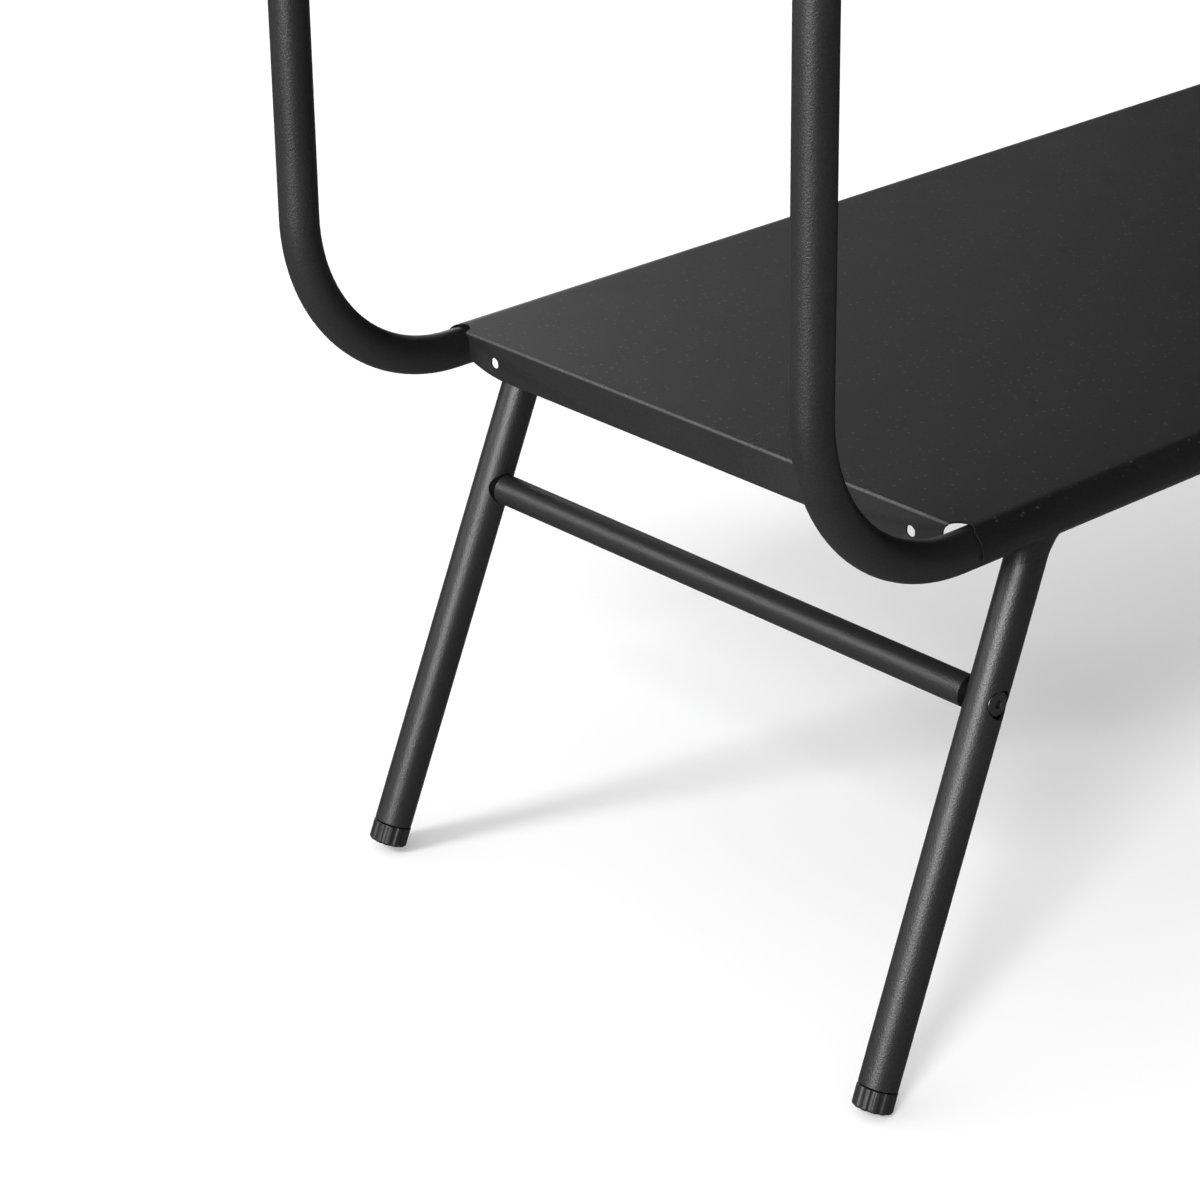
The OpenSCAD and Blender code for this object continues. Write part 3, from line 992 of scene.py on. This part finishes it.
def make_stem(corner):
    """Threaded levelling screw, a real helix of one start"""
    top, up, length = leg_line(corner)
    base = top - up * (length - FOOT_H + STEM_IN_FOOT)
    rows_per_turn = 6
    rows = round(STEM_L / THREAD_PITCH * rows_per_turn)
    steps = [(0.0, 1.5 * MM, None)]
    for k in range(rows + 1):
        z = STEM_L * k / rows
        from_end = min(z, STEM_L - z)
        cone = STEM_R - 1.0 * MM + from_end

        def thread(r, angle, phase=z / THREAD_PITCH, most=cone):
            f = (phase - angle / (2 * math.pi)) % 1
            return min(r - THREAD_DEPTH * abs(2 * f - 1), most)

        steps.append((z, STEM_R, thread))
    steps.append((STEM_L, 1.5 * MM, None))
    shell = Shell()
    turned(shell, base, up, steps, 30)
    name = corner + "_stem"
    make_piece(name + "_threaded", shell, zinc_steel, "zinc_steel", name, name, sharp=40)


# ---- shelf: a flat pattern, bent round the rails and down at the ends ----

FOLD_X = SHELF_HALF - FOLD_R
FOLD_L = FOLD_R * math.pi / 2
FOLD_STEPS = 6
CURL_STEPS = 18
SHEET_EDGE = 0.3 * MM


def arc_points(centre, radius, first, last, count):
    """Points of an arc in a plane, between two angles"""
    turns = [first + (last - first) * k / count for k in range(count + 1)]
    return [(centre[0] + radius * math.cos(a), centre[1] + radius * math.sin(a)) for a in turns]


def flange_spot(y, z):
    """Place on the flat pattern of a point of the left end flange"""
    return -(FOLD_X + FOLD_L + SHELF_TOP - FOLD_R - z), y


def quarter_pattern():
    """Outline of the pattern's left front quarter, from the flange's foot to the front curl"""
    start = FLANGE_END - FLANGE_CORNER_L
    points = [flange_spot(-start * k / 3, FLANGE_LOW) for k in range(1, 4)]
    for k in range(1, 13):
        dy = FLANGE_CORNER_L * k / 12
        z = FLANGE_LOW + FLANGE_CORNER_R - math.sqrt(FLANGE_CORNER_R ** 2 - dy * dy)
        points.append(flange_spot(-start - dy, z))
    relief_z = RAIL_Z + RELIEF_R
    last = math.asin((SHELF_TOP - FOLD_R - relief_z) / RELIEF_R)
    for y, z in arc_points((-FLANGE_END - RELIEF_R, relief_z), RELIEF_R, 0, last, 9):
        points.append(flange_spot(y, z))
    y_fold = points[-1][1]
    first = math.atan2(math.sqrt(NOTCH_R ** 2 - FOLD_R ** 2), FOLD_R)
    last = -math.asin((RAIL_Y - NOTCH_Y) / NOTCH_R)
    notch = arc_points((-SHELF_HALF, -NOTCH_Y), NOTCH_R, first, last, 12)
    for k in range(1, FOLD_STEPS):
        f = k / FOLD_STEPS
        points.append((-(FOLD_X + FOLD_L * (1 - f)), y_fold + (notch[0][1] - y_fold) * f))
    points += notch
    notch_end = NOTCH_Y + math.sqrt(NOTCH_R ** 2 - (SHELF_HALF - CURL_HALF) ** 2)
    end = math.asin((notch_end - RAIL_Y) / CURL_R)
    turn = CURL_WRAP / CURL_STEPS
    turns = [turn * k for k in range(1, int(end / turn) + 1)] + [end]
    for a in turns:
        y = RAIL_Y + CURL_R * math.sin(a)
        u = math.sqrt(NOTCH_R ** 2 - (y - NOTCH_Y) ** 2) - SHELF_HALF
        points.append((u, -RAIL_Y - CURL_R * a))
    for k in range(int(end / turn) + 1, CURL_STEPS + 1):
        points.append((-CURL_HALF, -RAIL_Y - CURL_R * turn * k))
    return points


def bent(u, v, depth):
    """A point of the flat pattern, bent to shape, at a depth below the sheet's outer face"""
    x, y, z = u, v, SHELF_TOP - depth
    over = abs(v) - RAIL_Y
    if over > 0:
        a = over / CURL_R
        y = math.copysign(RAIL_Y + (CURL_R - depth) * math.sin(a), v)
        z = RAIL_Z + (CURL_R - depth) * math.cos(a)
    past = abs(u) - FOLD_X
    if past > 0:
        a = min(past / FOLD_R, math.pi / 2)
        x = math.copysign(FOLD_X + (FOLD_R - depth) * math.sin(a), u)
        z = SHELF_TOP - FOLD_R + (FOLD_R - depth) * math.cos(a) - max(past - FOLD_L, 0)
    return Vector((x, y, z))


def inset(loop, distance):
    """The loop moved to its left by a distance, on the flat pattern"""
    moved = []
    for k in range(len(loop)):
        a, b, c = (Vector(loop[(k + i) % len(loop)]) for i in (-1, 0, 1))
        side = ((b - a).normalized() + (c - b).normalized()).normalized()
        moved.append((b.x - side.y * distance, b.y + side.x * distance))
    return moved


def in_hole(triangle):
    """Whether a triangle of the pattern fills one of the flange holes"""
    middle = sum(triangle, Vector((0, 0))) / 3
    hole_u, hole_v = flange_spot(FLANGE_HOLE_Y, RAIL_Z)
    return math.hypot(abs(middle.x) + hole_u, abs(middle.y) - hole_v) < FLANGE_HOLE_R


def make_shelf():
    """The sheet: the flat pattern in triangles, bent, with a rounded edge round every loop"""
    quarter = quarter_pattern()
    outline = list(quarter)
    outline += [(-u, v) for u, v in reversed(quarter)]
    outline += [(-u, -v) for u, v in quarter]
    outline += [(u, -v) for u, v in reversed(quarter)]
    loops = [outline]
    for side in SIDES:
        for face in SIDES:
            u, v = flange_spot(face * FLANGE_HOLE_Y, RAIL_Z)
            circle = arc_points((-side * u, v), FLANGE_HOLE_R, 2 * math.pi, 2 * math.pi / 48, 47)
            loops.append(circle)
    flat = [inset(loop, SHEET_EDGE) for loop in loops]
    spots, edges, sizes = [], [], []
    for loop in flat:
        first = len(spots)
        spots += [Vector(p) for p in loop]
        edges += [(first + k, first + (k + 1) % len(loop)) for k in range(len(loop))]
        sizes.append((first, len(loop)))
    lines = bend_lines(outline)
    edges += lines
    out_spots, _, out_faces, origin, _, _ = delaunay_2d_cdt(spots, edges, [], 1, 1e-7)
    out_faces = [face for face in out_faces if not in_hole([out_spots[k] for k in face])]
    place = {}
    for k, sources in enumerate(origin):
        for source in sources:
            place[source] = k
    shell = Shell()
    upper = shell.ring([bent(p.x, p.y, 0) for p in out_spots])
    lower = shell.ring([bent(p.x, p.y, SHEET) for p in out_spots])
    for face in out_faces:
        shell.faces.append(tuple(upper[k] for k in face))
        shell.faces.append(tuple(lower[k] for k in reversed(face)))
    for loop, (first, count) in zip(loops, sizes):
        rings = [[upper[place[first + k]] for k in range(count)]]
        for turn in (30, 60, 90):
            out = SHEET_EDGE * (1 - math.sin(math.radians(turn)))
            depth = SHEET_EDGE * (1 - math.cos(math.radians(turn)))
            rings.append(shell.ring([bent(u, v, depth) for u, v in inset(loop, out)]))
        for turn in (90, 60, 30):
            out = SHEET_EDGE * (1 - math.sin(math.radians(turn)))
            depth = SHEET - SHEET_EDGE * (1 - math.cos(math.radians(turn)))
            rings.append(shell.ring([bent(u, v, depth) for u, v in inset(loop, out)]))
        rings.append([lower[place[first + k]] for k in range(count)])
        shell.bands(rings)
    make_piece("shelf_sheet", shell, shelf_coat, "shelf_coat", "frame", "shelf")


def bend_lines(outline):
    """Edges straight across the pattern, so that its faces follow the curls and the folds"""
    near = 0.001 * MM
    count = len(outline)
    quarter = count // 4
    lines = []
    for k in range(quarter):
        u, v = outline[k]
        if abs(v) > RAIL_Y - near:
            lines.append((k, 2 * quarter - 1 - k))
            lines.append((2 * quarter + k, count - 1 - k))
        elif FOLD_X - near < -u < FOLD_X + FOLD_L + near:
            lines.append((k, count - 1 - k))
            lines.append((2 * quarter - 1 - k, 2 * quarter + k))
    return lines


# ---- the whole ----


def dress_hidden_parts():
    """CAD nodes that keep their own shape: inserts, sleeves, spigots and leg plugs"""
    for name, material in (
        ("crossbar_inserts", zinc_steel),
        ("bolt_sleeves", zinc_steel),
        ("hoop_spigots", zinc_steel),
        ("leg_plugs", saddle_plastic),
    ):
        mesh = nodes[name].data
        mesh.materials.clear()
        mesh.materials.append(material)


make_camera()
make_world()
# softboxes: name, place, aim, width, height and watts
key = make_softbox("key", (-2.75, -0.62, 1.2), (-0.5, 0, 0.2), 1.3, 1.3, 132)
rim = make_softbox("rim", (-2.4, 2.0, 1.5), (-0.5, 0, 0.3), 1.2, 1.2, 42)
flange_light = make_softbox("flange_light", (-2.6, 0.6, 0.17), (-0.47, 0, 0.33), 1.3, 0.3, 11)
make_softbox("back_left", (0.8, 3.6, 1.1), (0, 0, 0.35), 2.4, 1.0, 23)
make_softbox("back_wide", (1.6, 3.6, 1.1), (0, 0, 0.35), 4.2, 1.0, 10)
make_softbox("floor_glow", (-0.6, 0, 0.002), (-0.6, 0, 1.0), 6.0, 6.0, 16)
floor = make_floor()
bpy.context.scene.view_settings.view_transform = "Standard"

make_hoop("front_lower_hoop", -1, RAIL_Z, 1, ())
make_hoop("rear_lower_hoop", 1, RAIL_Z, 1, ())
make_hoop("front_upper_hoop", -1, TOP_Z, -1, (-TOP_BAR_X, TOP_BAR_X))
make_hoop("rear_upper_hoop", 1, TOP_Z, -1, (-TOP_BAR_X, TOP_BAR_X))
for corner in CORNERS:
    make_leg(corner)
    make_leg_weld(corner)
    make_foot(corner)
    make_stem(corner)
make_crossbar("lower_left_crossbar", -LEG_BAR_X, LEG_BAR_Z, LEG_BAR_END)
make_crossbar("lower_right_crossbar", LEG_BAR_X, LEG_BAR_Z, LEG_BAR_END)
make_crossbar("top_left_crossbar", -TOP_BAR_X, TOP_Z, TOP_BAR_END)
make_crossbar("top_right_crossbar", TOP_BAR_X, TOP_Z, TOP_BAR_END)
make_hanging_rail()
make_saddles()
make_bolts()
make_spigot_screws()
make_shelf()
dress_hidden_parts()

share_suns(floor)
light_shelf(key, rim, flange_light)
